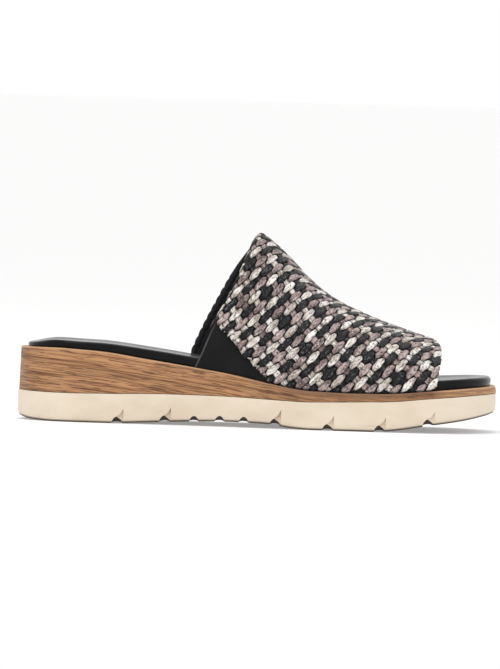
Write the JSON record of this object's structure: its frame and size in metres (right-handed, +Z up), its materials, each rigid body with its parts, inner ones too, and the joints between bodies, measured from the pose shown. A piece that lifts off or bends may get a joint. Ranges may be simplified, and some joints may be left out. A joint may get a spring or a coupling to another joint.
{
  "type": "woven wedge mule sandal",
  "caption": "Open-toed, open-backed mule for the right foot: woven band upper with elastic gusset on a padded insole, tapering wedge and notched outsole.",
  "frame": {"origin": "on the floor under the middle of the heel's flat rest face", "axes": "+X towards the toe, +Y towards the inner side of the foot, +Z up"},
  "size_m": [0.256, 0.0926, 0.1025],
  "materials": {
    "outsole": "cream foam rubber, matt",
    "wedge_midsole": "wood-look wrap with a fine lengthwise grain, satin",
    "insole": "smooth black leather, satin",
    "woven_upper": "woven strips in cream, taupe and black, matt",
    "elastic_gusset": "black elastic, matt"
  },
  "bodies": {
    "root": {"outsole": "outsole", "wedge_midsole": "wedge_midsole", "insole": "insole", "woven_upper": "woven_upper", "elastic_gusset": "elastic_gusset"}
  },
  "joints": []
}
